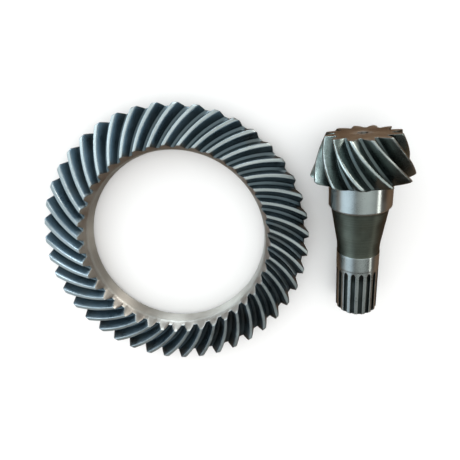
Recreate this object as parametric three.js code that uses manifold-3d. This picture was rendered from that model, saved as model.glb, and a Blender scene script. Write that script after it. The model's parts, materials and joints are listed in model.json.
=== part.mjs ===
// Spiral bevel gear set for a right-angle drive: a crown wheel (ring_gear) and the
// pinion that is cut in one piece with its shaft (pinion_shaft).
// The two lie side by side, as delivered: the crown wheel on its back face with the
// teeth up, the pinion on two of its teeth and on the far end of its splines.
// Millimetres, +Z up. The origin is the middle of the set's footprint, on the ground.

import * as THREE from "three";
import { mergeVertices } from "three/addons/utils/BufferGeometryUtils.js";
import Module from "manifold-3d";

const wasm = await Module();
wasm.setup();

const degrees = (angle) => (angle * Math.PI) / 180;

// ---------------------------------------------------------------- driving dimensions

// The gear pair. The shafts cross at 90 degrees, and the two pitch cones share one apex.
const MODULE = 6; // at the heel, the wide end of the teeth
const RING_TEETH = 43;
const PINION_TEETH = 12;
const RING_FACE_WIDTH = 37.2; // along the pitch cone
const PINION_FACE_WIDTH = 38.2;
const SPIRAL_ANGLE = degrees(35); // at the middle of the face
const CUTTER_RADIUS = 110; // of the face-mill head that sweeps the tooth line
const PRESSURE_ANGLE = degrees(20); // square to the tooth
const BACKLASH = 0.3; // taken half from each gear

// Crown wheel body. Heights are below the pitch apex.
const RING_MOUNTING_DISTANCE = 54.5; // apex to back face
const RING_BORE_RADIUS = 88.9; // a 7 inch register
const RING_BORE_TOP = 37.2; // where the cone under the toes of the teeth meets the bore
const RING_RIM_DEPTH = 48; // where the back cone of the teeth meets the round rim
const RING_BORE_CHAMFER = 2;
const RING_RIM_CHAMFER = 1.5;
const RING_HEEL_LENGTH = 2; // the teeth run on this far past the pitch cone distance,
const RING_HEEL_DROP = 2.2; // with their tips sloping down by this much
const BOLT_COUNT = 12; // tapped holes in the back face, M12
const BOLT_CIRCLE_RADIUS = 102;
const BOLT_HOLE_RADIUS = 5.1;
const BOLT_HOLE_DEPTH = 13;

// Pinion shaft. Distances run from the pitch apex along the shaft.
const SHOULDER_AT = 130.5; // the face that the head bearing sits against
const HEAD_SEAT_RADIUS = 26.99; // a 2 1/8 inch bearing
const HEAD_SEAT_LENGTH = 24;
const HEAD_SEAT_CHAMFER = 1.4;
const WAIST_RADIUS = 25; // where the long taper starts
const NECK_RADIUS = 19; // where it ends
const TAPER_LENGTH = 38;
const NECK_LENGTH = 7;
const TAIL_SEAT_RADIUS = 19.3;
const TAIL_SEAT_LENGTH = 15;
const SPLINE_LENGTH = 48;
const SPLINE_RADIUS = 19.2;
const SPLINE_COUNT = 17;
const SPLINE_GROOVE_WIDTH = 3.9;
const SPLINE_GROOVE_DEPTH = 2.3;
const SPLINE_TURN = degrees(-10); // of the grooves against the teeth
const SPLINE_HOB_RADIUS = 28; // the groove ends in this curve
const END_CHAMFER = 1.6;
const CENTRE_HOLE_RADIUS = 2.2;
const CENTRE_CONE_RADIUS = 4.2;
const CENTRE_HOLE_DEPTH = 10;
const PINION_HEEL_LENGTH = 1.6; // the last stretch of the teeth, where the tips slope
const PINION_HEEL_DROP = 1.8; // down by this much

// How the two pieces lie on the ground.
const PINION_ASIDE = new THREE.Vector2(169.2, 69.9); // heel of the pinion, from the ring's axis
const PINION_YAW = degrees(5.2);
const RING_TURN = degrees(4.15); // azimuth of one tooth tip at the heel

// Facets.
const RING_BANDS = 5; // along each tooth
const PINION_BANDS = 7;
const RING_FLANK_POINTS = 2; // from tip to fillet, on each flank
const PINION_FLANK_POINTS = 3;

// ---------------------------------------------------------------- tooth geometry

const CONE_DISTANCE = (MODULE / 2) * Math.hypot(RING_TEETH, PINION_TEETH);
const MIDDLE_DISTANCE = CONE_DISTANCE - RING_FACE_WIDTH / 2;
const TRANSVERSE_TANGENT = Math.tan(PRESSURE_ANGLE) / Math.cos(SPIRAL_ANGLE);
const TRANSVERSE_ANGLE = Math.atan(TRANSVERSE_TANGENT);

// Gleason proportions for a 90 degree pair: the pinion has the long addendum.
const WORKING_DEPTH = 1.8 * MODULE;
const WHOLE_DEPTH = 2 * MODULE;
const RING_ADDENDUM = (0.46 + 0.39 * (PINION_TEETH / RING_TEETH) ** 2) * MODULE;
const PINION_ADDENDUM = WORKING_DEPTH - RING_ADDENDUM;
const THICKNESS_SHIFT = (PINION_ADDENDUM - RING_ADDENDUM) * TRANSVERSE_TANGENT + 0.04 * MODULE;

// The cutter head's centre lies this far from the apex in the plane of the crown gear.
const CUTTER_OFFSET = Math.sqrt(
  MIDDLE_DISTANCE ** 2 + CUTTER_RADIUS ** 2
    - 2 * MIDDLE_DISTANCE * CUTTER_RADIUS * Math.sin(SPIRAL_ANGLE),
);

// How far the tooth line has turned on the crown gear at one distance from the apex.
function toothLineTurn(distance) {
  const turnAt = (a) =>
    Math.acos((a * a + CUTTER_OFFSET ** 2 - CUTTER_RADIUS ** 2) / (2 * a * CUTTER_OFFSET));
  return turnAt(distance) - turnAt(CONE_DISTANCE);
}

// The same on the gear itself, from the heel.
function spiralTurn(gear, distance) {
  return (gear.hand * toothLineTurn(distance)) / Math.sin(gear.pitchAngle);
}

// Azimuth that a spherical involute sweeps from its base cone out to a cone angle.
function involuteTurn(coneAngle, baseAngle) {
  if (coneAngle <= baseAngle) {
    return 0;
  }
  const rolled = Math.acos(Math.cos(coneAngle) / Math.cos(baseAngle)) / Math.sin(baseAngle);
  return rolled - Math.acos(Math.tan(baseAngle) / Math.tan(coneAngle));
}

// One gear of the pair, in a frame with the pitch apex at the origin and the teeth up.
// hand is +1 for right-hand teeth and -1 for left-hand ones.
function describeGear(teeth, mate, addendum, thicknessShift, hand, flankPoints) {
  const pitchAngle = Math.atan2(teeth, mate);
  const baseAngle = Math.asin(Math.sin(pitchAngle) * Math.cos(TRANSVERSE_ANGLE));
  const thickness = (Math.PI * MODULE) / 2 + thicknessShift - BACKLASH / 2;
  return {
    teeth,
    hand,
    flankPoints,
    pitchAngle,
    baseAngle,
    tipAngle: pitchAngle + Math.atan(addendum / CONE_DISTANCE),
    rootAngle: pitchAngle - Math.atan((WHOLE_DEPTH - addendum) / CONE_DISTANCE),
    halfAtPitch: thickness / (MODULE * teeth) + involuteTurn(pitchAngle, baseAngle),
  };
}

const ring = describeGear(
  RING_TEETH, PINION_TEETH, RING_ADDENDUM, -THICKNESS_SHIFT, 1, RING_FLANK_POINTS,
);
const pinion = describeGear(
  PINION_TEETH, RING_TEETH, PINION_ADDENDUM, THICKNESS_SHIFT, -1, PINION_FLANK_POINTS,
);

// Cone angle and half thickness, as an azimuth, down one flank from tip to root.
// The last point stands out from the flank as the fillet does. The tip can be lowered.
function flankProfile(gear, tipDrop = 0) {
  const tipAngle = gear.tipAngle - tipDrop / CONE_DISTANCE;
  const filletRise = 0.2 * (gear.tipAngle - gear.rootAngle);
  const filletReach = (0.16 * Math.PI) / gear.teeth;
  const profile = [];
  for (let i = 0; i < gear.flankPoints; i += 1) {
    const down = i / (gear.flankPoints - 1);
    const angle = THREE.MathUtils.lerp(tipAngle, gear.rootAngle + filletRise, down);
    profile.push({ angle, half: gear.halfAtPitch - involuteTurn(angle, gear.baseAngle) });
  }
  const lowest = profile.at(-1).half;
  profile.push({ angle: gear.rootAngle, half: lowest + filletReach });
  return profile;
}

function conePoint(angle, distance, azimuth) {
  const radius = distance * Math.sin(angle);
  const height = -distance * Math.cos(angle);
  return new THREE.Vector3(radius * Math.cos(azimuth), radius * Math.sin(azimuth), height);
}

// One closed row of points around the gear, through every flank of every tooth.
// distanceAt gives the distance from the apex at which a cone angle is cut off.
function toothRow(gear, distanceAt, tipDrop) {
  const down = flankProfile(gear, tipDrop);
  const sides = [
    ...[...down].reverse().map((point) => ({ ...point, side: -1 })),
    ...down.map((point) => ({ ...point, side: 1 })),
  ];
  const row = [];
  for (let tooth = 0; tooth < gear.teeth; tooth += 1) {
    const middle = (2 * Math.PI * tooth) / gear.teeth;
    for (const { angle, half, side } of sides) {
      const distance = distanceAt(angle);
      row.push(conePoint(angle, distance, middle + side * half + spiralTurn(gear, distance)));
    }
  }
  return row;
}

// A cut square to the pitch cone, which is how the ends of bevel teeth are turned.
function squareCut(gear, pitchDistance) {
  return (angle) => pitchDistance / Math.cos(angle - gear.pitchAngle);
}

// A round row with its points at the azimuths of another row.
function roundRow(pattern, radius, height) {
  return pattern.map((point) => {
    const azimuth = Math.atan2(point.y, point.x);
    return new THREE.Vector3(radius * Math.cos(azimuth), radius * Math.sin(azimuth), height);
  });
}

// ---------------------------------------------------------------- meshes and solids

// Skins closed rows of equal length. A ring-shaped skin joins its last row to its first
// and starts with the outer row of its top. A plain one is closed by a point on the axis
// at each end and starts at the bottom.
function skin(rows, isRing) {
  const count = rows[0].length;
  const positions = rows.flat().flatMap((point) => point.toArray());
  const faces = [];
  const addBand = (a, b) => {
    for (let i = 0; i < count; i += 1) {
      const j = (i + 1) % count;
      faces.push(a * count + i, a * count + j, b * count + j);
      faces.push(a * count + i, b * count + j, b * count + i);
    }
  };
  for (let row = 0; row + 1 < rows.length; row += 1) {
    addBand(row, row + 1);
  }
  if (isRing) {
    addBand(rows.length - 1, 0);
  } else {
    addCap(positions, faces, 0, count, rows[0][0].z, true);
    addCap(positions, faces, (rows.length - 1) * count, count, rows.at(-1)[0].z, false);
  }
  const geometry = new THREE.BufferGeometry();
  geometry.setAttribute("position", new THREE.Float32BufferAttribute(positions, 3));
  geometry.setIndex(faces);
  return geometry;
}

function addCap(positions, faces, start, count, height, isFirst) {
  const centre = positions.length / 3;
  positions.push(0, 0, height);
  for (let i = 0; i < count; i += 1) {
    const a = start + i;
    const b = start + ((i + 1) % count);
    faces.push(centre, isFirst ? b : a, isFirst ? a : b);
  }
}

function toSolid(geometry) {
  const bare = geometry.index ? geometry.clone() : geometry;
  bare.deleteAttribute("normal");
  bare.deleteAttribute("uv");
  const merged = mergeVertices(bare, 1e-4);
  const mesh = new wasm.Mesh({
    numProp: 3,
    vertProperties: new Float32Array(merged.attributes.position.array),
    triVerts: new Uint32Array(merged.index.array),
  });
  return new wasm.Manifold(mesh);
}

function toGeometry(solid) {
  const { vertProperties, triVerts } = solid.getMesh();
  const geometry = new THREE.BufferGeometry();
  geometry.setAttribute("position", new THREE.Float32BufferAttribute(vertProperties, 3));
  geometry.setIndex(Array.from(triVerts));
  return geometry;
}

// A cutter turned about Z from a half outline of [radius, height] pairs, lowest first.
function turnedCutter(outline, segments) {
  return new THREE.LatheGeometry(
    outline.map(([radius, height]) => new THREE.Vector2(radius, height)),
    segments,
  );
}

// ---------------------------------------------------------------- the crown wheel

function ringBlank() {
  const back = -RING_MOUNTING_DISTANCE;
  const heelDistance = CONE_DISTANCE + RING_HEEL_LENGTH;
  // The back cone's radius at a height, from where it crosses the axis.
  const coneFoot = -heelDistance / Math.cos(ring.pitchAngle);
  const rimRadius = (-RING_RIM_DEPTH - coneFoot) / Math.tan(ring.pitchAngle);

  const heelRow = toothRow(ring, squareCut(ring, heelDistance), RING_HEEL_DROP);
  const rows = [heelRow];
  for (let band = 0; band <= RING_BANDS; band += 1) {
    const along = CONE_DISTANCE - (RING_FACE_WIDTH * band) / RING_BANDS;
    rows.push(toothRow(ring, squareCut(ring, along)));
  }
  const toeRow = rows.at(-1);
  rows.push(roundRow(toeRow, RING_BORE_RADIUS, -RING_BORE_TOP));
  rows.push(roundRow(toeRow, RING_BORE_RADIUS, back + RING_BORE_CHAMFER));
  rows.push(roundRow(toeRow, RING_BORE_RADIUS + RING_BORE_CHAMFER, back));
  rows.push(roundRow(heelRow, rimRadius - RING_RIM_CHAMFER, back));
  rows.push(roundRow(heelRow, rimRadius, back + RING_RIM_CHAMFER));
  rows.push(roundRow(heelRow, rimRadius, -RING_RIM_DEPTH));
  return skin(rows, true);
}

function boltHoleCutter() {
  const bottom = -RING_MOUNTING_DISTANCE - 1;
  const top = -RING_MOUNTING_DISTANCE + BOLT_HOLE_DEPTH;
  const outline = [[0, bottom], [BOLT_HOLE_RADIUS, bottom], [BOLT_HOLE_RADIUS, top], [0, top]];
  return turnedCutter(outline, 16).rotateX(Math.PI / 2);
}

function ringGear() {
  let solid = toSolid(ringBlank());
  for (let i = 0; i < BOLT_COUNT; i += 1) {
    const cutter = boltHoleCutter();
    cutter.translate(BOLT_CIRCLE_RADIUS, 0, 0);
    cutter.rotateZ((2 * Math.PI * i) / BOLT_COUNT);
    solid = solid.subtract(toSolid(cutter));
  }
  return toGeometry(solid);
}

// ---------------------------------------------------------------- the pinion shaft

const TOE_FACE_AT =
  (CONE_DISTANCE - PINION_FACE_WIDTH) * Math.cos(pinion.tipAngle)
  / Math.cos(pinion.tipAngle - pinion.pitchAngle);
const HEAD_SEAT_END = SHOULDER_AT + HEAD_SEAT_LENGTH;
const NECK_AT = HEAD_SEAT_END + TAPER_LENGTH;
const TAIL_SEAT_AT = NECK_AT + NECK_LENGTH;
const SPLINE_AT = TAIL_SEAT_AT + TAIL_SEAT_LENGTH;
const SHAFT_END = SPLINE_AT + SPLINE_LENGTH;

function pinionBlank() {
  const rows = [toothRow(pinion, (angle) => TOE_FACE_AT / Math.cos(angle))];
  const toeDistance = CONE_DISTANCE - PINION_FACE_WIDTH;
  const fullTo = CONE_DISTANCE - PINION_HEEL_LENGTH;
  for (let band = 1; band <= PINION_BANDS; band += 1) {
    const along = THREE.MathUtils.lerp(toeDistance, fullTo, band / PINION_BANDS);
    rows.push(toothRow(pinion, squareCut(pinion, along)));
  }
  const heelRow = toothRow(pinion, squareCut(pinion, CONE_DISTANCE), PINION_HEEL_DROP);
  rows.push(heelRow);
  const coneFoot = CONE_DISTANCE / Math.cos(pinion.pitchAngle);
  const coneRadius = (coneFoot - SHOULDER_AT) / Math.tan(pinion.pitchAngle);
  const shaft = [
    [coneRadius, SHOULDER_AT],
    [HEAD_SEAT_RADIUS, SHOULDER_AT],
    [HEAD_SEAT_RADIUS, HEAD_SEAT_END - HEAD_SEAT_CHAMFER],
    [HEAD_SEAT_RADIUS - HEAD_SEAT_CHAMFER, HEAD_SEAT_END],
    [WAIST_RADIUS, HEAD_SEAT_END],
    [NECK_RADIUS, NECK_AT],
    [NECK_RADIUS, TAIL_SEAT_AT - TAIL_SEAT_RADIUS + NECK_RADIUS],
    [TAIL_SEAT_RADIUS, TAIL_SEAT_AT],
    [TAIL_SEAT_RADIUS, SPLINE_AT],
    [SPLINE_RADIUS, SPLINE_AT],
    [SPLINE_RADIUS, SHAFT_END - END_CHAMFER],
    [SPLINE_RADIUS - END_CHAMFER, SHAFT_END],
  ];
  for (const [radius, distance] of shaft) {
    rows.push(roundRow(heelRow, radius, -distance));
  }
  return skin(rows.reverse(), false);
}

// One spline groove on the +X side: straight sides, and a floor that curves up and out
// of the shaft where the hob left it.
function splineGrooveCutter() {
  const floor = SPLINE_RADIUS - SPLINE_GROOVE_DEPTH;
  const over = 3;
  const runOut = Math.acos(1 - SPLINE_GROOVE_DEPTH / SPLINE_HOB_RADIUS);
  const straightTo = -SPLINE_AT - 2 - SPLINE_HOB_RADIUS * Math.sin(runOut);
  const outline = new THREE.Shape();
  outline.moveTo(SPLINE_RADIUS + over, -SHAFT_END - over);
  outline.lineTo(floor, -SHAFT_END - over);
  const steps = 4;
  for (let i = 0; i <= steps; i += 1) {
    const turn = (runOut * i) / steps;
    const rise = SPLINE_HOB_RADIUS * (1 - Math.cos(turn));
    outline.lineTo(floor + rise, straightTo + SPLINE_HOB_RADIUS * Math.sin(turn));
  }
  outline.lineTo(SPLINE_RADIUS + over, -SPLINE_AT - 2);
  const cutter = new THREE.ExtrudeGeometry(outline, {
    depth: SPLINE_GROOVE_WIDTH,
    bevelEnabled: false,
  });
  cutter.translate(0, 0, -SPLINE_GROOVE_WIDTH / 2);
  return cutter.rotateX(Math.PI / 2);
}

// A 60 degree centre for the lathe, from the face at the given height, opening that way.
function centreHoleCutter(height, direction) {
  const coneDepth = (CENTRE_CONE_RADIUS - CENTRE_HOLE_RADIUS) / Math.tan(degrees(30));
  const outline = [
    [0, -CENTRE_HOLE_DEPTH],
    [CENTRE_HOLE_RADIUS, -CENTRE_HOLE_DEPTH],
    [CENTRE_HOLE_RADIUS, -coneDepth],
    [CENTRE_CONE_RADIUS, 0],
    [CENTRE_CONE_RADIUS, 1],
    [0, 1],
  ];
  const cutter = turnedCutter(outline, 20).rotateX(Math.PI / 2);
  if (direction < 0) {
    cutter.rotateX(Math.PI);
  }
  return cutter.translate(0, 0, height);
}

function pinionShaft() {
  let solid = toSolid(pinionBlank());
  for (let i = 0; i < SPLINE_COUNT; i += 1) {
    const cutter = splineGrooveCutter();
    cutter.rotateZ(SPLINE_TURN + (2 * Math.PI * i) / SPLINE_COUNT);
    solid = solid.subtract(toSolid(cutter));
  }
  solid = solid.subtract(toSolid(centreHoleCutter(-TOE_FACE_AT, 1)));
  solid = solid.subtract(toSolid(centreHoleCutter(-SHAFT_END, -1)));
  return toGeometry(solid);
}

// ---------------------------------------------------------------- laying them out

const steel = (color, roughness) =>
  new THREE.MeshStandardMaterial({ color, roughness, metalness: 0.9 });

function layPinion(mesh) {
  // It rests on the heels of two neighbouring teeth and on the chamfered spline end.
  const tip = flankProfile(pinion)[0];
  const heelDistance = squareCut(pinion, CONE_DISTANCE - PINION_HEEL_LENGTH)(pinion.tipAngle);
  const heelRadius = heelDistance * Math.sin(pinion.tipAngle);
  const heelAt = heelDistance * Math.cos(pinion.tipAngle);
  const restRadius = heelRadius * Math.cos(Math.PI / PINION_TEETH - tip.half);
  const tailAt = SHAFT_END - END_CHAMFER;
  const tilt = Math.atan2(restRadius - SPLINE_RADIUS, tailAt - heelAt);

  // The shaft's own +Z, towards the small end of the head, and a sideways axis.
  const along = new THREE.Vector3(
    -Math.sin(PINION_YAW) * Math.cos(tilt), Math.cos(PINION_YAW) * Math.cos(tilt), Math.sin(tilt),
  );
  const sideways = new THREE.Vector3(-Math.cos(PINION_YAW), -Math.sin(PINION_YAW), 0);
  const upward = new THREE.Vector3().crossVectors(along, sideways);
  const laid = new THREE.Matrix4().makeBasis(sideways, upward, along);

  // A tooth space points at the ground, so the first tooth lies half a pitch beside it.
  const beside = -Math.PI / 2 + Math.PI / PINION_TEETH - spiralTurn(pinion, heelDistance);
  mesh.quaternion.setFromRotationMatrix(
    laid.multiply(new THREE.Matrix4().makeRotationZ(beside)),
  );
  const heelHeight = restRadius * Math.cos(tilt);
  const heelCentre = new THREE.Vector3(PINION_ASIDE.x, PINION_ASIDE.y, heelHeight);
  mesh.position.copy(heelCentre.addScaledVector(along, heelAt));
}

function layRing(mesh) {
  mesh.rotation.z = RING_TURN;
  mesh.position.z = RING_MOUNTING_DISTANCE;
}

const ringMesh = new THREE.Mesh(ringGear(), steel(0x2f3b42, 0.42));
ringMesh.name = "ring_gear";
layRing(ringMesh);

const pinionMesh = new THREE.Mesh(pinionShaft(), steel(0x566062, 0.38));
pinionMesh.name = "pinion_shaft";
layPinion(pinionMesh);

const set = new THREE.Group();
set.add(ringMesh, pinionMesh);
set.updateMatrixWorld(true);
const footprint = new THREE.Box3().setFromObject(set, true).getCenter(new THREE.Vector3());
set.position.set(-footprint.x, -footprint.y, 0);

export default set;
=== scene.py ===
import json
import math
from types import SimpleNamespace

import bpy
import numpy as np
from mathutils import Matrix, Vector


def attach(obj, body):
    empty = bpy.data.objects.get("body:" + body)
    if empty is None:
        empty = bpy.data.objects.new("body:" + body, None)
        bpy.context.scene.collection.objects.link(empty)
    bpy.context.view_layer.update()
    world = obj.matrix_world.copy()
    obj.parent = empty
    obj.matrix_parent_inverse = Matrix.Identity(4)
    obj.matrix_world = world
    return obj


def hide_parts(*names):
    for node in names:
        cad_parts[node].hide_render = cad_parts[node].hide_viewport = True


# Spiral bevel gear set on a pale floor: a crown wheel lying on its back face, and beside
# it the pinion that is cut in one piece with its splined shaft.
# Lengths are millimetres until a mesh is made; the frame is in metres.

MM = 0.001
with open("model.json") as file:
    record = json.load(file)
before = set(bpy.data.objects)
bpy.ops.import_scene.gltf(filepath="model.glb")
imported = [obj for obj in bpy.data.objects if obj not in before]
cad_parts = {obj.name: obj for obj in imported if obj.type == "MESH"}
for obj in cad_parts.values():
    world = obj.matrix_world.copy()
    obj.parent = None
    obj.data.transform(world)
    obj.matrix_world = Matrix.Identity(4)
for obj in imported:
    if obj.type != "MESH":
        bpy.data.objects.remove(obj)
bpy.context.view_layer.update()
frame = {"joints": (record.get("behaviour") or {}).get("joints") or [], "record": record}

# ---------------------------------------------------------------- driving dimensions

# The gear pair, as in the CAD model. The apex of the pitch cones is each gear's origin.
MODULE = 6.0
RING_TEETH = 43
PINION_TEETH = 12
RING_FACE_WIDTH = 37.2
PINION_FACE_WIDTH = 38.2
SPIRAL_ANGLE = math.radians(35)
CUTTER_RADIUS = 110.0
PRESSURE_ANGLE = math.radians(20)
BACKLASH = 0.3

# Crown wheel body, heights below the apex.
RING_MOUNTING_DISTANCE = 54.5
RING_BORE_RADIUS = 88.9
RING_BORE_TOP = 37.2
RING_RIM_DEPTH = 48.0
RING_BORE_CHAMFER = 2.0
RING_RIM_CHAMFER = 1.5
RING_HEEL_LENGTH = 2.0
RING_HEEL_DROP = 2.2
BOLT_COUNT = 12
BOLT_CIRCLE_RADIUS = 102.0
BOLT_HOLE_RADIUS = 5.1
BOLT_HOLE_DEPTH = 13.0
RING_TURN = math.radians(4.15)

# Pinion shaft, distances from the apex along the shaft.
SHOULDER_AT = 130.5
HEAD_SEAT_RADIUS = 26.99
HEAD_SEAT_LENGTH = 24.0
HEAD_SEAT_CHAMFER = 1.4
WAIST_RADIUS = 25.0
NECK_RADIUS = 19.0
TAPER_LENGTH = 38.0
NECK_LENGTH = 7.0
TAIL_SEAT_RADIUS = 19.3
TAIL_SEAT_LENGTH = 15.0
SPLINE_LENGTH = 48.0
SPLINE_RADIUS = 19.2
SPLINE_COUNT = 17
SPLINE_TURN = math.radians(-10)
GROOVE_WIDTH = 3.9
GROOVE_DEPTH = 2.3
HOB_RADIUS = 28.0
END_CHAMFER = 1.6
CENTRE_HOLE_RADIUS = 2.2
CENTRE_CONE_RADIUS = 4.2
CENTRE_HOLE_DEPTH = 10.0
PINION_HEEL_LENGTH = 1.6
PINION_HEEL_DROP = 1.8

# Fine detail that the CAD model leaves out.
TOOTH_EDGE = 0.45  # rounding of the edge between a land and a flank
TOE_EDGE = 0.35  # rounding at the end of the teeth
TOE_BETWEEN = 0.3  # share of the toe edge at the row between its two ends
SHOULDER_FILLET = 1.2
TAPER_FILLET = 4.0  # where the taper runs into the neck
GROOVE_EDGE = 0.25
LAND_INSIDE = 0.5  # how far the land of a heel end is pared back
HEEL_TURNS = (22, 44, 66)  # degrees round the rounded heel
COUNTERSINK = 0.9
DRILL_POINT = 3.0
POINT_RADIUS = 0.3  # of the flat that closes a drilled point
CENTRE_RIM = 0.3  # worn edge round a centre hole
CLOSE = 0.3  # rows that hold an edge's shading, measured from the edge
NEAR = 0.9
FILLET_SHARE = 0.2  # of the tooth depth
FILLET_REACH = 0.16  # of half the tooth pitch
SHARP_ANGLE = math.radians(40)

# Facets.
RING_BANDS = 26  # along each tooth
PINION_BANDS = 30
EDGE_STEPS = 4
HOLE_SIDES = 32
RING_SIDE = SimpleNamespace(land=1, flank=4, fillet=4, root=0)
PINION_SIDE = SimpleNamespace(land=2, flank=6, fillet=4, root=1)

# ---------------------------------------------------------------- tooth geometry

CONE_DISTANCE = MODULE / 2 * math.hypot(RING_TEETH, PINION_TEETH)
MIDDLE_DISTANCE = CONE_DISTANCE - RING_FACE_WIDTH / 2
TRANSVERSE_TANGENT = math.tan(PRESSURE_ANGLE) / math.cos(SPIRAL_ANGLE)
WORKING_DEPTH = 1.8 * MODULE
WHOLE_DEPTH = 2.0 * MODULE
RING_ADDENDUM = (0.46 + 0.39 * (PINION_TEETH / RING_TEETH) ** 2) * MODULE
PINION_ADDENDUM = WORKING_DEPTH - RING_ADDENDUM
THICKNESS_SHIFT = (PINION_ADDENDUM - RING_ADDENDUM) * TRANSVERSE_TANGENT + 0.04 * MODULE
CUTTER_OFFSET = math.sqrt(
    MIDDLE_DISTANCE**2 + CUTTER_RADIUS**2
    - 2 * MIDDLE_DISTANCE * CUTTER_RADIUS * math.sin(SPIRAL_ANGLE)
)


def cutter_angle(distance):
    """Angle at the apex between the cutter's centre and the tooth line."""
    opposite = distance**2 + CUTTER_OFFSET**2 - CUTTER_RADIUS**2
    return np.arccos(opposite / (2 * distance * CUTTER_OFFSET))


def spiral_turn(gear, distance):
    """How far a gear's tooth line has turned, from the heel, at a distance from the apex."""
    turn = cutter_angle(distance) - cutter_angle(CONE_DISTANCE)
    return gear.hand * turn / math.sin(gear.pitch)


def involute_turn(cone, base):
    """Azimuth that a spherical involute sweeps from its base cone to a cone angle."""
    safe = np.maximum(cone, base)
    rolled = np.arccos(np.minimum(np.cos(safe) / math.cos(base), 1)) / math.sin(base)
    return rolled - np.arccos(np.minimum(math.tan(base) / np.tan(safe), 1))


def describe_gear(teeth, mate, addendum, shift, hand, side):
    pitch = math.atan2(teeth, mate)
    base = math.asin(math.sin(pitch) * math.cos(math.atan(TRANSVERSE_TANGENT)))
    thickness = math.pi * MODULE / 2 + shift - BACKLASH / 2
    return SimpleNamespace(
        teeth=teeth,
        hand=hand,
        side=side,
        pitch=pitch,
        base=base,
        tip=pitch + math.atan(addendum / CONE_DISTANCE),
        root=pitch - math.atan((WHOLE_DEPTH - addendum) / CONE_DISTANCE),
        half_at_pitch=thickness / (MODULE * teeth) + float(involute_turn(pitch, base)),
    )


RING = describe_gear(
    RING_TEETH, PINION_TEETH, RING_ADDENDUM, -THICKNESS_SHIFT, 1, RING_SIDE
)
PINION = describe_gear(
    PINION_TEETH, RING_TEETH, PINION_ADDENDUM, THICKNESS_SHIFT, -1, PINION_SIDE
)


def curve_through(start, corner, end, steps):
    """Points of a quadratic curve, without its first."""
    t = np.linspace(0, 1, steps + 1)[1:, None]
    return (1 - t) ** 2 * start + 2 * t * (1 - t) * corner + t**2 * end


def half_thickness(gear, cone):
    return gear.half_at_pitch - float(involute_turn(cone, gear.base))


def tooth_side(gear, tip_drop):
    """Cone angle and half thickness down one side of a tooth, from its land to the root."""
    tip = gear.tip - tip_drop / CONE_DISTANCE
    edge = TOOTH_EDGE / CONE_DISTANCE
    across = edge / math.sin(gear.pitch)
    half_tip = half_thickness(gear, tip)
    land_end = np.array([tip, half_tip - across])
    corner = np.array([tip, half_tip])
    flank_start = np.array([tip - edge, half_thickness(gear, tip - edge)])
    land = [
        np.array([tip, land_end[1] * (i + 1) / (gear.side.land + 1)])
        for i in range(gear.side.land)
    ]
    rounded = curve_through(land_end, corner, flank_start, EDGE_STEPS - 1)

    fillet_top = gear.root + FILLET_SHARE * (gear.tip - gear.root)
    cones = np.linspace(tip - edge, fillet_top, gear.side.flank + 1)[1:]
    flank = [np.array([cone, half_thickness(gear, cone)]) for cone in cones]
    reach = FILLET_REACH * math.pi / gear.teeth
    foot = np.array([gear.root, flank[-1][1] + 0.2 * reach])
    root = np.array([gear.root, flank[-1][1] + reach])
    fillet = curve_through(flank[-1], foot, root, gear.side.fillet)
    gap_half = math.pi / gear.teeth - root[1]
    floor = [
        np.array([gear.root, root[1] + gap_half * (i + 0.5) / (gear.side.root + 0.5)])
        for i in range(gear.side.root)
    ]
    parts = [land, [land_end], rounded, flank, fillet, floor]
    return np.array([point for part in parts for point in part])


def tooth_row(gear, cut, tip_drop=0.0, inset=0.0):
    """A closed row through every tooth, where cut gives the distance for a cone angle.

    inset pares the teeth and their gaps away all round, to round off an end."""
    side = tooth_side(gear, tip_drop)
    half_tip = side[gear.side.land, 1]
    radius = CONE_DISTANCE * math.sin(gear.pitch)
    half = side[:, 1] - inset / radius * np.minimum(side[:, 1] / half_tip, 1)
    cone = side[:, 0] - inset / CONE_DISTANCE
    cones = np.concatenate([cone[::-1], cone])
    offsets = np.concatenate([-half[::-1], half])
    middles = np.arange(gear.teeth) * 2 * math.pi / gear.teeth
    cones = np.tile(cones, gear.teeth)
    azimuths = (middles[:, None] + offsets).ravel()
    distances = cut(cones)
    azimuths = azimuths + spiral_turn(gear, distances)
    return np.stack(
        [
            distances * np.sin(cones) * np.cos(azimuths),
            distances * np.sin(cones) * np.sin(azimuths),
            -distances * np.cos(cones),
        ],
        axis=1,
    )


def square_cut(gear, pitch_distance):
    """A cut square to the pitch cone at a distance from the apex."""
    return lambda cones: pitch_distance / np.cos(cones - gear.pitch)


def column_depths(gear):
    """Depth of each column below the land, 0 to 1, for the tool marks and the painted shade in
    the gaps of the teeth.
    """
    side = tooth_side(gear, 0.0)[:, 0]
    depth = (gear.tip - side) / (gear.tip - gear.root)
    return np.tile(np.concatenate([depth[::-1], depth]), gear.teeth)


def column_edges(gear):
    """1 at the columns that run along the edges of the lands."""
    count = len(tooth_side(gear, 0.0))
    edge = np.zeros(count)
    edge[gear.side.land + 1 : gear.side.land + EDGE_STEPS] = 1.0
    return np.tile(np.concatenate([edge[::-1], edge]), gear.teeth)


def column_is_land(gear):
    """True for the face columns that make up the lands."""
    depth = column_depths(gear)
    return np.maximum(depth, np.roll(depth, -1)) < 1e-6


def round_row(azimuths, radius, height):
    return np.stack(
        [
            radius * np.cos(azimuths),
            radius * np.sin(azimuths),
            np.full(len(azimuths), float(height)),
        ],
        axis=1,
    )


def azimuths_of(row):
    return np.arctan2(row[:, 1], row[:, 0])


# ---------------------------------------------------------------- skins and meshes


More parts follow.
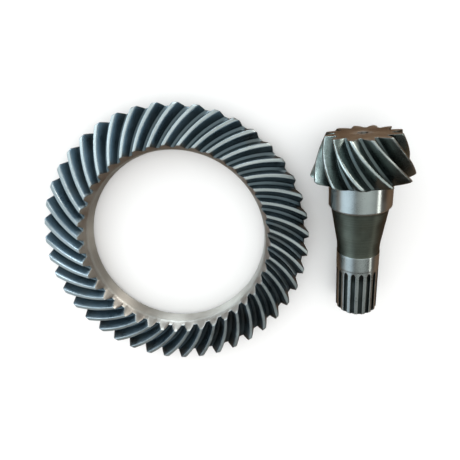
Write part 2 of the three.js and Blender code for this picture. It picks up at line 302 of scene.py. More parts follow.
class Skin:
    """Closed rows of points round an axis, with the finish of the band after each row."""

    def __init__(self):
        self.rows = []

    def add(self, points, finish, depth=0.0, wear=0.0):
        count = len(points)
        self.rows.append(
            SimpleNamespace(
                points=points,
                finish=finish,
                depth=np.broadcast_to(depth, count),
                wear=np.broadcast_to(wear, count),
            )
        )

    def between(self, start, end, steps, finish, wear=0.0):
        """Rows spaced evenly from one to the other, without the last."""
        for i in range(steps):
            t = i / steps
            edge = wear if i == 0 else 0.0
            self.add(start * (1 - t) + end * t, finish, wear=edge)

    def stacked(self, name):
        return np.concatenate([getattr(row, name) for row in self.rows])


def band_faces(lower, upper, count):
    i = np.arange(count)
    j = (i + 1) % count
    return np.stack([lower + i, lower + j, upper + j, upper + i], axis=1)


def fan_faces(centre, start, count, outward):
    i = np.arange(count)
    j = (i + 1) % count
    first, second = (start + i, start + j) if outward else (start + j, start + i)
    return np.stack([np.full(count, centre), first, second], axis=1)


def build_mesh(name, skin, is_ring, finishes):
    """A mesh from a skin, in its gear's frame. A skin that is no ring gets two end caps."""
    count = len(skin.rows[0].points)
    total = len(skin.rows)
    points = skin.stacked("points")
    attributes = {key: skin.stacked(key) for key in ("depth", "wear")}
    faces, kinds = [], []
    bands = total if is_ring else total - 1
    for row in range(bands):
        faces += band_faces(row * count, (row + 1) % total * count, count).tolist()
        finish = skin.rows[row].finish
        named = [finish] * count if isinstance(finish, str) else list(finish)
        kinds += [finishes.index(kind) for kind in named]
    if not is_ring:
        for row, outward in ((0, False), (total - 1, True)):
            tip = skin.rows[row].points.mean(axis=0)
            faces += fan_faces(len(points), row * count, count, outward).tolist()
            kinds += [finishes.index("drilled")] * count
            points = np.vstack([points, tip])
            attributes = {key: np.append(a, 0.0) for key, a in attributes.items()}
    mesh = bpy.data.meshes.new(name)
    mesh.from_pydata((points * MM).tolist(), [], faces)
    mesh.polygons.foreach_set("material_index", kinds)
    mesh.polygons.foreach_set("use_smooth", [True] * len(faces))
    attributes["radius"] = np.hypot(points[:, 0], points[:, 1])
    attributes["axial"] = points[:, 2]
    for key, values in attributes.items():
        layer = mesh.attributes.new(key, "FLOAT", "POINT")
        layer.data.foreach_set("value", values.astype(np.float32))
    mesh.update()
    return mesh


def place_piece(mesh, placement, finishes):
    mesh.transform(placement)
    for kind in finishes:
        mesh.materials.append(bpy.data.materials[kind])
    mesh.set_sharp_from_angle(angle=SHARP_ANGLE)
    piece = bpy.data.objects.new(mesh.name, mesh)
    bpy.context.scene.collection.objects.link(piece)
    return piece


# ---------------------------------------------------------------- the crown wheel


def ring_skin():
    skin = Skin()
    depth = column_depths(RING)
    edges = column_edges(RING)
    teeth = np.where(column_is_land(RING), "ring_land", "ring_flank")
    back = -RING_MOUNTING_DISTANCE
    toe = CONE_DISTANCE - RING_FACE_WIDTH

    # The heel, rounded over the ends of the tips.
    heel = CONE_DISTANCE + RING_HEEL_LENGTH
    heel_row = tooth_row(RING, square_cut(RING, heel), RING_HEEL_DROP, LAND_INSIDE)
    skin.add(heel_row, teeth, depth, 1.0)
    for turn in np.radians(HEEL_TURNS[::-1]):
        at = CONE_DISTANCE + RING_HEEL_LENGTH * math.sin(turn)
        down = 1 - math.cos(turn)
        cut = square_cut(RING, at)
        row = tooth_row(RING, cut, RING_HEEL_DROP * down, LAND_INSIDE * down)
        skin.add(row, teeth, depth, 0.4)

    # Along the teeth, and round the edge at the toe.
    for band in range(RING_BANDS + 1):
        along = band / RING_BANDS
        at = CONE_DISTANCE - (RING_FACE_WIDTH - TOE_EDGE) * along
        skin.add(tooth_row(RING, square_cut(RING, at)), teeth, depth, edges)
    softened = TOE_BETWEEN * TOE_EDGE
    row = tooth_row(RING, square_cut(RING, toe + softened), 0.0, softened)
    skin.add(row, teeth, depth, 1.0)
    toe_row = tooth_row(RING, square_cut(RING, toe), 0.0, TOE_EDGE)
    toe_round = azimuths_of(toe_row)

    # The cone under the toes, then the bore, the back face and the rim.
    bore_edge = round_row(toe_round, RING_BORE_RADIUS + 0.5, -RING_BORE_TOP + 0.1)
    skin.between(toe_row, bore_edge, 3, "ring_toe", 1.0)
    skin.add(bore_edge, "ring_bore", wear=1.0)
    bore_top = round_row(toe_round, RING_BORE_RADIUS, -RING_BORE_TOP - 0.5)
    bore_low = round_row(toe_round, RING_BORE_RADIUS, back + RING_BORE_CHAMFER)
    skin.between(bore_top, bore_low, 4, "ring_bore", 0.6)
    skin.add(bore_low, "ring_bore", wear=1.0)
    heel_round = azimuths_of(heel_row)
    rim_radius = (heel / math.cos(RING.pitch) - RING_RIM_DEPTH) / math.tan(RING.pitch)
    back_inner = round_row(toe_round, RING_BORE_RADIUS + RING_BORE_CHAMFER, back)
    back_outer = round_row(heel_round, rim_radius - RING_RIM_CHAMFER, back)
    skin.add(back_inner, "ring_back", wear=0.6)
    skin.add(back_outer, "ring_heel", wear=0.6)
    rim_low = round_row(heel_round, rim_radius, back + RING_RIM_CHAMFER)
    rim_top = round_row(heel_round, rim_radius, -RING_RIM_DEPTH)
    skin.add(rim_low, "ring_heel", wear=0.6)
    skin.add(rim_top, "ring_heel", wear=0.4)
    skin.between(rim_top * 0.7 + heel_row * 0.3, heel_row, 2, "ring_heel")
    return skin


def cut_bolt_holes(piece, placement):
    """Drills the back face, with Booleans that are applied to the mesh."""
    skin = Skin()
    sides = np.linspace(0, 2 * math.pi, HOLE_SIDES, endpoint=False)
    back = -RING_MOUNTING_DISTANCE
    top = back + BOLT_HOLE_DEPTH
    mouth = BOLT_HOLE_RADIUS + COUNTERSINK
    outline = [
        (mouth + 1.0, back - 1.0),
        (mouth, back),
        (BOLT_HOLE_RADIUS, back + COUNTERSINK),
        (BOLT_HOLE_RADIUS, top),
        (POINT_RADIUS, top + DRILL_POINT),
    ]
    for radius, height in outline:
        skin.add(round_row(sides, radius, height), "drilled")
    cutters = []
    out = Matrix.Translation((BOLT_CIRCLE_RADIUS * MM, 0, 0))
    for i in range(BOLT_COUNT):
        turn = Matrix.Rotation(2 * math.pi * i / BOLT_COUNT, 4, "Z")
        mesh = build_mesh(f"bolt_hole_{i}", skin, False, RING_FINISHES)
        cutter = place_piece(mesh, placement @ turn @ out, RING_FINISHES)
        modifier = piece.modifiers.new(cutter.name, "BOOLEAN")
        modifier.operation = "DIFFERENCE"
        modifier.solver = "EXACT"
        modifier.object = cutter
        cutters.append(cutter)
    graph = bpy.context.evaluated_depsgraph_get()
    drilled = bpy.data.meshes.new_from_object(piece.evaluated_get(graph))
    piece.modifiers.clear()
    piece.data = drilled
    for cutter in cutters:
        bpy.data.objects.remove(cutter)


RING_FINISHES = [
    "ring_flank", "ring_land", "ring_heel", "ring_toe", "ring_bore", "ring_back", "drilled",
]


def make_crown_wheel():
    opening = frame["record"]["physics"]["openings"][0]["box_m"]
    centre = (Vector(opening[0]) + Vector(opening[1])) / 2
    apex = Vector((centre.x, centre.y, RING_MOUNTING_DISTANCE * MM))
    placement = Matrix.Translation(apex) @ Matrix.Rotation(RING_TURN, 4, "Z")
    mesh = build_mesh("crown_wheel_body", ring_skin(), True, RING_FINISHES)
    piece = place_piece(mesh, placement, RING_FINISHES)
    cut_bolt_holes(piece, placement)
    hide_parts("ring_gear")
    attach(piece, "crown_wheel")


# ---------------------------------------------------------------- the pinion shaft

TOE_FACE_AT = (
    (CONE_DISTANCE - PINION_FACE_WIDTH) * math.cos(PINION.tip)
    / math.cos(PINION.tip - PINION.pitch)
)
HEAD_SEAT_END = SHOULDER_AT + HEAD_SEAT_LENGTH
NECK_AT = HEAD_SEAT_END + TAPER_LENGTH
TAIL_SEAT_AT = NECK_AT + NECK_LENGTH
SPLINE_AT = TAIL_SEAT_AT + TAIL_SEAT_LENGTH
SHAFT_END = SPLINE_AT + SPLINE_LENGTH
GROOVE_COLUMNS = 12  # on each side of a groove's middle
# The rounded floor of a groove: height above it, and distance out to its wall, 0 to 1.
GROOVE_FLOOR = [(0.0, 0.15), (0.0, 0.5), (0.02, 0.8), (0.1, 0.95), (0.4, 1.0)]
FULL_WIDTH_AT = 0.45  # share of the depth where a groove reaches its full width
RUN_OUT_GAP = 2.0  # from the end of the seat to the start of the grooves
FULL_DEPTH_AT = 13.5  # from the end of the seat, just past the grooves' run-out


def groove_side(outer, depth):
    """Radius and azimuth from a groove's middle to the middle of the land beside it.

    The rounding at its floor and its edges fades out where the groove is shallow."""
    half = GROOVE_WIDTH / 2 * math.sqrt(min(depth / (FULL_WIDTH_AT * GROOVE_DEPTH), 1))
    soft = min(depth / 0.6, 1)
    floor = outer - depth
    flat = [(floor + rise * soft, across * half) for rise, across in GROOVE_FLOOR]
    wall = [
        (floor + 0.55 * depth, half),
        (outer - GROOVE_EDGE * soft, half),
        (outer - 0.07 * soft, half + 0.08 * soft),
    ]
    points = [(radius, math.asin(across / radius)) for radius, across in flat + wall]
    edge = math.asin((half + GROOVE_EDGE * soft) / outer)
    middle = math.pi / SPLINE_COUNT
    land = [(outer, edge + (middle - edge) * t) for t in (0.0, 0.25, 0.55, 0.85)]
    return np.array(points + land)


def groove_row(outer, depth, height):
    side = groove_side(outer, depth)
    radii = np.concatenate([side[::-1, 0], side[:, 0]])
    offsets = np.concatenate([-side[::-1, 1], side[:, 1]])
    middles = SPLINE_TURN + np.arange(SPLINE_COUNT) * 2 * math.pi / SPLINE_COUNT
    azimuths = (middles[:, None] + offsets).ravel()
    row = round_row(azimuths, 1.0, height)
    row[:, :2] *= np.tile(radii, SPLINE_COUNT)[:, None]
    return row


def plain_azimuths():
    """The columns of the round part of the shaft, spaced evenly over each groove."""
    count = 2 * GROOVE_COLUMNS * SPLINE_COUNT
    return SPLINE_TURN + (np.arange(count) - GROOVE_COLUMNS + 0.5) * 2 * math.pi / count


def groove_depth(distance):
    """Depth of the grooves along the shaft, with the hob's curve where they run out."""
    run_out = HOB_RADIUS * math.sin(math.acos(1 - GROOVE_DEPTH / HOB_RADIUS))
    back_from_full = max(SPLINE_AT + RUN_OUT_GAP + run_out - distance, 0.0)
    rise = HOB_RADIUS - math.sqrt(HOB_RADIUS**2 - min(back_from_full, run_out) ** 2)
    return max(GROOVE_DEPTH - rise, 0.01)


def pinion_teeth(skin):
    depth = column_depths(PINION)
    edges = column_edges(PINION)
    teeth = np.where(column_is_land(PINION), "pinion_land", "pinion_flank")
    full_to = square_cut(PINION, CONE_DISTANCE - PINION_HEEL_LENGTH)

    def cut(t, cones):
        """From the plane of the toe face, t = 0, to square to the pitch cone, t = 1."""
        return (TOE_FACE_AT / np.cos(cones)) * (1 - t) + full_to(cones) * t

    start = tooth_row(PINION, lambda cones: cut(0, cones), 0.0, TOE_EDGE)
    skin.add(start, teeth, depth, 1.0)
    near = TOE_EDGE / PINION_FACE_WIDTH
    softened = TOE_BETWEEN * TOE_EDGE
    row = tooth_row(PINION, lambda cones: cut(TOE_BETWEEN * near, cones), 0.0, softened)
    skin.add(row, teeth, depth, 1.0)
    for t in np.linspace(near, 1, PINION_BANDS + 1):
        row = tooth_row(PINION, lambda cones, t=t: cut(t, cones))
        skin.add(row, teeth, depth, edges)
    for turn in np.radians(HEEL_TURNS):
        at = CONE_DISTANCE - PINION_HEEL_LENGTH * (1 - math.sin(turn))
        down = 1 - math.cos(turn)
        heel_cut = square_cut(PINION, at)
        row = tooth_row(PINION, heel_cut, PINION_HEEL_DROP * down, LAND_INSIDE * down)
        skin.add(row, teeth, depth, 0.4)
    heel_cut = square_cut(PINION, CONE_DISTANCE)
    heel = tooth_row(PINION, heel_cut, PINION_HEEL_DROP, LAND_INSIDE)
    cone_foot = CONE_DISTANCE / math.cos(PINION.pitch)
    cone_radius = (cone_foot - SHOULDER_AT) / math.tan(PINION.pitch)
    shoulder = round_row(azimuths_of(heel), cone_radius, -SHOULDER_AT)
    skin.between(heel, shoulder, 3, "pinion_heel", 1.0)
    skin.add(shoulder, "pinion_heel", wear=0.4)


def toe_face(skin):
    """The centre hole and the flat face at the small end."""
    azimuths = azimuths_of(tooth_row(PINION, lambda cones: TOE_FACE_AT / np.cos(cones)))
    for radius, down in centre_hole_outline():
        skin.add(round_row(azimuths, radius, -TOE_FACE_AT - down), "drilled")
    rim = CENTRE_CONE_RADIUS + CENTRE_RIM
    skin.add(round_row(azimuths, rim, -TOE_FACE_AT), "pinion_toe", wear=1.0)
    for radius in (14.0, 20.0):
        skin.add(round_row(azimuths, radius, -TOE_FACE_AT), "pinion_toe")


def centre_hole_outline():
    """Radius and depth, from the drill point out to the mouth of the 60 degree centre."""
    cone_depth = (CENTRE_CONE_RADIUS - CENTRE_HOLE_RADIUS) / math.tan(math.radians(30))
    return [
        (POINT_RADIUS, CENTRE_HOLE_DEPTH + 1.6),
        (CENTRE_HOLE_RADIUS, CENTRE_HOLE_DEPTH),
        (CENTRE_HOLE_RADIUS, cone_depth),
        (CENTRE_CONE_RADIUS, 0.25),
    ]


def arc(centre, radius, start, end, steps):
    """Radius and distance pairs round an arc in the shaft's half plane, in degrees."""
    turns = np.radians(np.linspace(start, end, steps + 1))
    return [(centre[0] + radius * math.cos(a), centre[1] + radius * math.sin(a)) for a in turns]


def taper_radius(distance):
    return WAIST_RADIUS - (WAIST_RADIUS - NECK_RADIUS) / TAPER_LENGTH * distance


def shaft_outline():
    """Radius, distance, finish and wear for the round rows after the shoulder. The rows
    close to each end of a long surface keep its shading straight."""
    seat = HEAD_SEAT_RADIUS
    fillet = arc((seat + SHOULDER_FILLET, SHOULDER_AT + SHOULDER_FILLET), SHOULDER_FILLET,
                 270, 180, 4)
    outline = [(*point, "pinion_heel", 0.0) for point in fillet[:-1]]
    outline += [(*fillet[-1], "pinion_seat", 0.0)]
    chamfer_at = HEAD_SEAT_END - HEAD_SEAT_CHAMFER
    outline += [
        (seat, SHOULDER_AT + SHOULDER_FILLET + 2 * CLOSE, "pinion_seat", 0.0),
        (seat, (SHOULDER_AT + HEAD_SEAT_END) / 2, "pinion_seat", 0.0),
        (seat, chamfer_at - NEAR, "pinion_seat", 0.0),
        (seat, chamfer_at - CLOSE, "pinion_seat", 0.0),
        (seat - 0.1, chamfer_at, "pinion_seat", 1.0),
        (seat - HEAD_SEAT_CHAMFER, HEAD_SEAT_END, "pinion_taper", 0.6),
        (WAIST_RADIUS + 0.6, HEAD_SEAT_END + 0.1, "pinion_taper", 0.0),
        (WAIST_RADIUS, HEAD_SEAT_END + 0.7, "pinion_taper", 0.0),
    ]
    bend_after = TAPER_LENGTH - TAPER_FILLET
    for after in (1.5, bend_after / 2, bend_after - 1, bend_after):
        outline += [(taper_radius(after), HEAD_SEAT_END + after, "pinion_taper", 0.0)]
    bend = curve_through(
        np.array([taper_radius(bend_after), NECK_AT - TAPER_FILLET]),
        np.array([NECK_RADIUS, NECK_AT]),
        np.array([NECK_RADIUS, NECK_AT + TAPER_FILLET]),
        5,
    )
    outline += [(*point, "pinion_taper", 0.0) for point in bend]
    step = TAIL_SEAT_RADIUS - NECK_RADIUS
    outline += [
        (NECK_RADIUS, TAIL_SEAT_AT - step, "pinion_taper", 0.0),
        (TAIL_SEAT_RADIUS - 0.05, TAIL_SEAT_AT, "pinion_seat", 1.0),
        (TAIL_SEAT_RADIUS, TAIL_SEAT_AT + CLOSE, "pinion_seat", 0.0),
        (TAIL_SEAT_RADIUS, TAIL_SEAT_AT + NEAR, "pinion_seat", 0.0),
        (TAIL_SEAT_RADIUS, SPLINE_AT - 0.8, "pinion_seat", 0.0),
        (TAIL_SEAT_RADIUS, SPLINE_AT - 0.2, "pinion_seat", 0.0),
        (SPLINE_RADIUS, SPLINE_AT, "pinion_seat", 0.6),
        (SPLINE_RADIUS, SPLINE_AT + 1.2, "pinion_seat", 0.0),
    ]
    return outline


def splined_end(skin):
    """The grooves, the chamfered end and the centre hole in it."""
    side = groove_side(SPLINE_RADIUS, GROOVE_DEPTH)
    cut_away = SPLINE_RADIUS - side[:, 0] > 1e-3
    is_groove = np.tile(np.concatenate([cut_away[::-1], cut_away]), SPLINE_COUNT)
    in_groove = is_groove & np.roll(is_groove, -1)
    kinds = np.where(in_groove, "pinion_groove", "pinion_seat")
    down = np.clip((SPLINE_RADIUS - side[:, 0]) / GROOVE_DEPTH, 0, 1)
    depth = np.tile(np.concatenate([down[::-1], down]), SPLINE_COUNT)
    edge = ((down > 0.0005) & (down < 0.2)) * 1.0
    wear = np.tile(np.concatenate([edge[::-1], edge]), SPLINE_COUNT)

    run_out = np.linspace(SPLINE_AT + RUN_OUT_GAP + 0.05, SPLINE_AT + FULL_DEPTH_AT, 14)
    straight = np.linspace(SPLINE_AT + FULL_DEPTH_AT + 2.5, SHAFT_END - END_CHAMFER, 6)
    for distance in np.concatenate([run_out, straight]):
        row = groove_row(SPLINE_RADIUS, groove_depth(distance), -distance)
        skin.add(row, kinds, depth, wear=wear)
    chamfered = SPLINE_RADIUS - END_CHAMFER
    floor = GROOVE_DEPTH - END_CHAMFER
    skin.add(groove_row(chamfered, floor, -SHAFT_END), "pinion_end", wear=0.8)
    azimuths = plain_azimuths()
    skin.add(round_row(azimuths, 14.5, -SHAFT_END), "pinion_end")
    rim = CENTRE_CONE_RADIUS + CENTRE_RIM
    skin.add(round_row(azimuths, rim, -SHAFT_END), "drilled", wear=1.0)
    for radius, into in reversed(centre_hole_outline()):
        skin.add(round_row(azimuths, radius, -SHAFT_END + into), "drilled")


def pinion_skin():
    skin = Skin()
    toe_face(skin)
    pinion_teeth(skin)
    azimuths = plain_azimuths()
    for radius, distance, finish, wear in shaft_outline():
        skin.add(round_row(azimuths, radius, -distance), finish, wear=wear)
    splined_end(skin)
    # Turned over end for end, so that the faces look outwards.
    ordered = Skin()
    rows = skin.rows[::-1]
    for row, after in zip(rows, rows[1:] + rows[-1:]):
        ordered.rows.append(SimpleNamespace(**{**vars(row), "finish": after.finish}))
    return ordered


PINION_FINISHES = [
    "pinion_flank", "pinion_land", "pinion_heel", "pinion_toe", "pinion_seat",
    "pinion_taper", "pinion_groove", "pinion_end", "drilled",
]


def make_pinion():
    joint = frame["joints"][0]
    along = Vector(joint["axis"]).normalized()
    apex = Vector(joint["pos_m"]) + along * SHOULDER_AT * MM
    sideways = Vector((0, 0, 1)).cross(along).normalized()
    upward = along.cross(sideways)
    laid = Matrix((sideways, upward, along)).transposed().to_4x4()
    heel = square_cut(PINION, CONE_DISTANCE - PINION_HEEL_LENGTH)(PINION.tip)
    beside = -math.pi / 2 + math.pi / PINION_TEETH - float(spiral_turn(PINION, heel))
    placement = Matrix.Translation(apex) @ laid @ Matrix.Rotation(beside, 4, "Z")
    mesh = build_mesh("pinion_body", pinion_skin(), False, PINION_FINISHES)
    piece = place_piece(mesh, placement, PINION_FINISHES)
    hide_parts("pinion_shaft")
    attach(piece, "pinion")


# ---------------------------------------------------------------- steel finishes


class Nodes:
    """Short names for the nodes of one material."""

    def __init__(self, tree):
        self.tree = tree

    def link(self, value, socket):
        if isinstance(value, bpy.types.NodeSocket):
            self.tree.links.new(value, socket)
        else:
            socket.default_value = value

    def new(self, kind, inputs=(), output=0, **settings):
        node = self.tree.nodes.new(kind)
        for key, value in settings.items():
            setattr(node, key, value)
        for key, value in dict(inputs).items():
            self.link(value, node.inputs[key])
        return node.outputs[output]

    def math(self, operation, a, b):
        return self.new("ShaderNodeMath", {0: a, 1: b}, operation=operation)

    def blend(self, a, b, share):
        """A weighted mean, share of a and the rest of b."""
        rest = self.math("MULTIPLY", b, 1 - share)
        return self.math("ADD", self.math("MULTIPLY", a, share), rest)

    def attribute(self, name):
        return self.new("ShaderNodeAttribute", output="Fac", attribute_name=name)

    def noise(self, size_mm, detail):
        """Noise with features of about the given size, on the object's own coordinates."""
        place = self.new("ShaderNodeTexCoord", output="Object")
        inputs = {"Vector": place, "Scale": 1 / (size_mm * MM), "Detail": detail}
        return self.new("ShaderNodeTexNoise", inputs)

    def lines(self, name, pitch_mm):
        """Tool marks that follow an attribute, such as rings at one radius."""
        along = self.math("MULTIPLY", self.attribute(name), 1 / pitch_mm)
        inputs = {"W": along, "Scale": 1.0, "Detail": 3.0}
        return self.new("ShaderNodeTexNoise", inputs, noise_dimensions="1D")

    def span(self, value, low, high, to_low=0.0, to_high=1.0, **settings):
        inputs = {"Value": value, 1: low, 2: high, 3: to_low, 4: to_high}
        return self.new("ShaderNodeMapRange", inputs, **settings)

    def mix(self, factor, a, b):
        inputs = {"Factor": factor, 6: (*a, 1) if isinstance(a, tuple) else a,
                  7: (*b, 1) if isinstance(b, tuple) else b}
        return self.new("ShaderNodeMix", inputs, output=2, data_type="RGBA")


PATCH_SIZE = 18.0  # millimetres
RELIEF = 0.02  # depth of the tool marks, in millimetres
MIDDLE = (0.35, 0.65)  # the range that most values of a noise lie in


def steel(
    name, dark, light, roughness, marks, grain=0.6, rough_spread=0.12, stain=None,
    stained=0.0, worn=None, oil=0.0, turned=None, smear=0.85, gap_shade=0.0,
):
    """A steel finish. marks names the attribute and pitch in mm that the tool marks follow;
    stain is the colour of a thin film in patches; worn is the colour of rubbed edges;
    turned is the axis of a turned or ground surface, which smears its gloss that way;
    the last is how far the colour darkens towards the bottoms of the tooth gaps, painted shade
    for the shadow that falls in them."""
    material = bpy.data.materials.new(name)
    material.use_nodes = True
    tree = material.node_tree
    shader = tree.nodes["Principled BSDF"]
    nodes = Nodes(tree)
    patches = nodes.noise(PATCH_SIZE, 5.0)
    fine = nodes.noise(grain, 3.0)
    tool = nodes.lines(*marks)
    shade = nodes.blend(patches, tool, 0.6)
    colour = nodes.mix(nodes.span(shade, *MIDDLE), dark, light)
    # Painted shade: the colour darkens towards the bottoms of the tooth gaps, where they lie in
    # shadow.
    if gap_shade:
        painted_gap_shade = nodes.span(nodes.attribute("depth"), 0.15, 0.85, 0.0, gap_shade)
        colour = nodes.mix(painted_gap_shade, colour, GAP_SHADE_COLOUR)
    if stain:
        film = nodes.span(nodes.noise(PATCH_SIZE * 1.7, 6.0), 0.62 - 0.3 * stained, 0.75)
        share = nodes.math("MULTIPLY", film, min(stained * 1.4, 1.0))
        colour = nodes.mix(share, colour, stain)
    if worn:
        rub = nodes.math("MULTIPLY", nodes.attribute("wear"), nodes.noise(2.5, 4.0))
        colour = nodes.mix(nodes.span(rub, 0.25, 0.6), colour, worn)
    nodes.link(colour, shader.inputs["Base Color"])
    low, high = roughness - rough_spread, roughness + rough_spread
    gloss = nodes.span(nodes.blend(patches, fine, 0.5), *MIDDLE, low, high)
    nodes.link(gloss, shader.inputs["Roughness"])
    relief = nodes.blend(tool, fine, 0.7)
    inputs = {"Height": relief, "Strength": 0.5, "Distance": RELIEF * MM}
    nodes.link(nodes.new("ShaderNodeBump", inputs), shader.inputs["Normal"])
    if turned:
        axis = nodes.new("ShaderNodeCombineXYZ", dict(enumerate(turned)))
        nodes.link(axis, shader.inputs["Tangent"])
        shader.inputs["Anisotropic"].default_value = smear
    shader.inputs["Metallic"].default_value = 1.0
    shader.inputs["Coat Weight"].default_value = oil
    shader.inputs["Coat Roughness"].default_value = 0.18


RUST = (0.105, 0.062, 0.036)
GAP_SHADE_COLOUR = (0.06, 0.075, 0.08)  # painted shade: the dark colour that the bottoms of the tooth gaps are darkened towards


def make_finishes():
    ring_axis = (0.0, 0.0, 1.0)
    shaft_axis = tuple(frame["joints"][0]["axis"])
    steel("ring_flank", (0.21, 0.27, 0.31), (0.33, 0.41, 0.465), 0.35,
          ("depth", 0.08), gap_shade=0.6, worn=(0.48, 0.51, 0.52), stain=(0.15, 0.13, 0.10),
          stained=0.3, oil=0.1)
    steel("ring_land", (0.40, 0.43, 0.43), (0.56, 0.60, 0.60), 0.42,
          ("radius", 0.5), worn=(0.62, 0.64, 0.64), stain=(0.20, 0.20, 0.19), stained=0.15,
          turned=ring_axis)
    steel("ring_heel", (0.05, 0.045, 0.04), (0.12, 0.105, 0.09), 0.42,
          ("radius", 0.7), worn=(0.15, 0.14, 0.13), stain=RUST, stained=0.3, oil=0.1)
    steel("ring_toe", (0.42, 0.39, 0.36), (0.60, 0.57, 0.53), 0.44,
          ("radius", 0.45), worn=(0.6, 0.58, 0.55), grain=0.9, turned=ring_axis,
          smear=0.7)
    steel("ring_bore", (0.54, 0.50, 0.46), (0.70, 0.66, 0.61), 0.58,
          ("axial", 0.5), worn=(0.6, 0.58, 0.54), turned=ring_axis, smear=0.95)
    steel("ring_back", (0.34, 0.35, 0.35), (0.5, 0.5, 0.5), 0.3,
          ("radius", 0.4), worn=(0.6, 0.6, 0.6), stain=RUST, stained=0.2)
    steel("pinion_flank", (0.14, 0.17, 0.16), (0.24, 0.28, 0.265), 0.30,
          ("depth", 0.06), gap_shade=0.6, worn=(0.45, 0.48, 0.47), stain=(0.08, 0.07, 0.055),
          stained=0.3, oil=0.1)
    steel("pinion_land", (0.40, 0.44, 0.43), (0.57, 0.61, 0.59), 0.40,
          ("axial", 0.5), worn=(0.56, 0.6, 0.58), stain=(0.16, 0.16, 0.14), stained=0.2,
          turned=shaft_axis)
    steel("pinion_heel", (0.06, 0.052, 0.045), (0.14, 0.125, 0.11), 0.42,
          ("axial", 0.7), worn=(0.2, 0.18, 0.16), stain=RUST, stained=0.35, oil=0.1)
    steel("pinion_toe", (0.29, 0.215, 0.15), (0.46, 0.35, 0.25), 0.42,
          ("radius", 0.8), worn=(0.5, 0.45, 0.4), stain=(0.24, 0.15, 0.09), stained=0.4)
    steel("pinion_seat", (0.53, 0.57, 0.56), (0.66, 0.70, 0.69), 0.29,
          ("axial", 0.3), worn=(0.72, 0.74, 0.74), rough_spread=0.03, turned=shaft_axis)
    steel("pinion_taper", (0.095, 0.105, 0.085), (0.17, 0.185, 0.155), 0.52,
          ("axial", 0.9), stain=(0.09, 0.07, 0.048), stained=0.3, grain=0.8,
          turned=shaft_axis)
    steel("pinion_groove", (0.05, 0.062, 0.06), (0.12, 0.14, 0.135), 0.38,
          ("depth", 0.12), worn=(0.4, 0.42, 0.42), stain=RUST, stained=0.15, oil=0.1)
    steel("pinion_end", (0.30, 0.29, 0.27), (0.45, 0.44, 0.42), 0.36,
          ("radius", 0.5), worn=(0.5, 0.5, 0.5), stain=RUST, stained=0.3)
    steel("drilled", (0.03, 0.027, 0.025), (0.09, 0.08, 0.07), 0.45,
          ("axial", 0.6), worn=(0.6, 0.6, 0.6), stain=RUST, stained=0.3)


# ---------------------------------------------------------------- floor, light, camera


FLOOR_SIZE = 12.0  # metres
FLOOR_HEIGHT = -0.0002  # just clear of the faces that rest on it
PAPER = (0.15, 0.095, 0.06, 1)
DAYLIGHT = (1.2, 1.2, 1.2)  # on the floor, from all round
ROOM_LOW = (0.040, 0.030, 0.022)  # what the steel mirrors, from the horizon
ROOM_HIGH = (0.11, 0.115, 0.115)  # to overhead


def make_floor():
    bpy.ops.mesh.primitive_plane_add(size=FLOOR_SIZE, location=(0, 0, FLOOR_HEIGHT))
    floor = bpy.context.object
    floor.name = "floor"
    material = bpy.data.materials.new("pale_floor")
    material.use_nodes = True
    tree = material.node_tree
    nodes = Nodes(tree)
    pale = tree.nodes["Principled BSDF"]
    pale.inputs["Base Color"].default_value = (0.93, 0.93, 0.92, 1)
    pale.inputs["Roughness"].default_value = 0.9
    pale.inputs["Specular IOR Level"].default_value = 0.1
    # What the steel mirrors of the floor is warm and dim, as of packing paper.
    paper = nodes.new("ShaderNodeBsdfDiffuse", {"Color": PAPER})
    ray = nodes.new("ShaderNodeLightPath", output="Is Glossy Ray")
    surface = nodes.new(
        "ShaderNodeMixShader", {0: ray, 1: pale.outputs["BSDF"], 2: paper}
    )
    nodes.link(surface, tree.nodes["Material Output"].inputs["Surface"])
    floor.data.materials.append(material)


def directed(*direction):
    """The unit vector of a direction in the room."""
    return Vector(direction).normalized()


# What the steel mirrors: soft patches of light on a dim room, each with its direction,
# the half angles in degrees where it is full and where it has gone, and its colour.
ROOM_LIGHTS = [
    (directed(0.12, 0.22, 0.97), 20, 60, (0.92, 1.0, 0.98)),
    (directed(-0.88, -0.18, 0.42), 12, 42, (0.95, 1.14, 1.28)),
    (directed(-0.80, 0.48, 0.40), 8, 26, (2.4, 2.9, 3.1)),
]


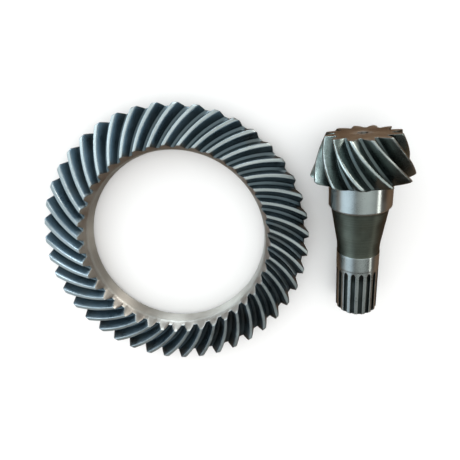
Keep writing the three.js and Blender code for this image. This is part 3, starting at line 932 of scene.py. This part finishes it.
def make_world():
    """A dim room for the steel to mirror, and plain white light on the floor."""
    world = bpy.data.worlds.new("studio")
    bpy.context.scene.world = world
    world.cycles.sampling_method = "NONE"
    world.use_nodes = True
    tree = world.node_tree
    nodes = Nodes(tree)
    place = nodes.new("ShaderNodeTexCoord", output="Generated")
    height = nodes.new("ShaderNodeSeparateXYZ", {0: place}, output="Z")
    room = nodes.mix(nodes.span(height, 0.0, 0.9), ROOM_LOW, ROOM_HIGH)
    for direction, full, gone, colour in ROOM_LIGHTS:
        aligned = nodes.new(
            "ShaderNodeVectorMath", {0: place, 1: direction}, output="Value",
            operation="DOT_PRODUCT",
        )
        low, high = math.cos(math.radians(gone)), math.cos(math.radians(full))
        patch = nodes.span(aligned, low, high, interpolation_type="SMOOTHSTEP")
        room = nodes.mix(patch, room, colour)
    glossy = nodes.new("ShaderNodeLightPath", output="Is Glossy Ray")
    seen = nodes.mix(glossy, DAYLIGHT, room)
    nodes.link(seen, tree.nodes["Background"].inputs["Color"])


def area_light(name, location, aim, size, power, colour, only_gloss=False):
    data = bpy.data.lights.new(name, "AREA")
    data.shape = "RECTANGLE"
    data.size, data.size_y = size
    data.energy = power
    data.color = colour
    light = bpy.data.objects.new(name, data)
    light.location = location
    toward = Vector(aim) - Vector(location)
    light.rotation_euler = toward.to_track_quat("-Z", "Y").to_euler()
    light.visible_diffuse = not only_gloss
    bpy.context.scene.collection.objects.link(light)


# Narrow lamps that the steel mirrors: name, direction, size in metres, power, colour.
LAMPS = [
    ("lamp_behind", directed(-0.12, 0.97, 0.22), (1.2, 1.0), 42, (0.82, 0.94, 1.0)),
    ("lamp_corner", directed(0.66, 0.72, 0.20), (0.7, 1.0), 27, (1.0, 1.0, 0.95)),
    ("lamp_right", directed(0.80, -0.33, 0.48), (0.4, 0.5), 4.5, (1.0, 1.0, 0.94)),
]
LAMP_DISTANCE = 3.0


def make_lights():
    middle = (0, 0, 0)
    area_light("window", (-0.95, 0.85, 0.7), (-0.03, 0, 0), (1.0, 0.8), 5, (0.82, 0.93, 1.0))
    for name, direction, size, power, colour in LAMPS:
        area_light(name, direction * LAMP_DISTANCE, middle, size, power, colour, True)


def make_camera():
    data = bpy.data.cameras.new("camera")
    data.sensor_width = 36.0
    data.lens = 29.317
    camera = bpy.data.objects.new("camera", data)
    camera.location = (0.03272, 0.11102, 0.3705)
    camera.rotation_euler = [math.radians(turn) for turn in (-15.731, 2.850, -0.394)]
    bpy.context.scene.collection.objects.link(camera)
    bpy.context.scene.camera = camera


make_finishes()
make_crown_wheel()
make_pinion()
make_floor()
make_world()
make_lights()
make_camera()
bpy.context.scene.view_settings.view_transform = "Standard"
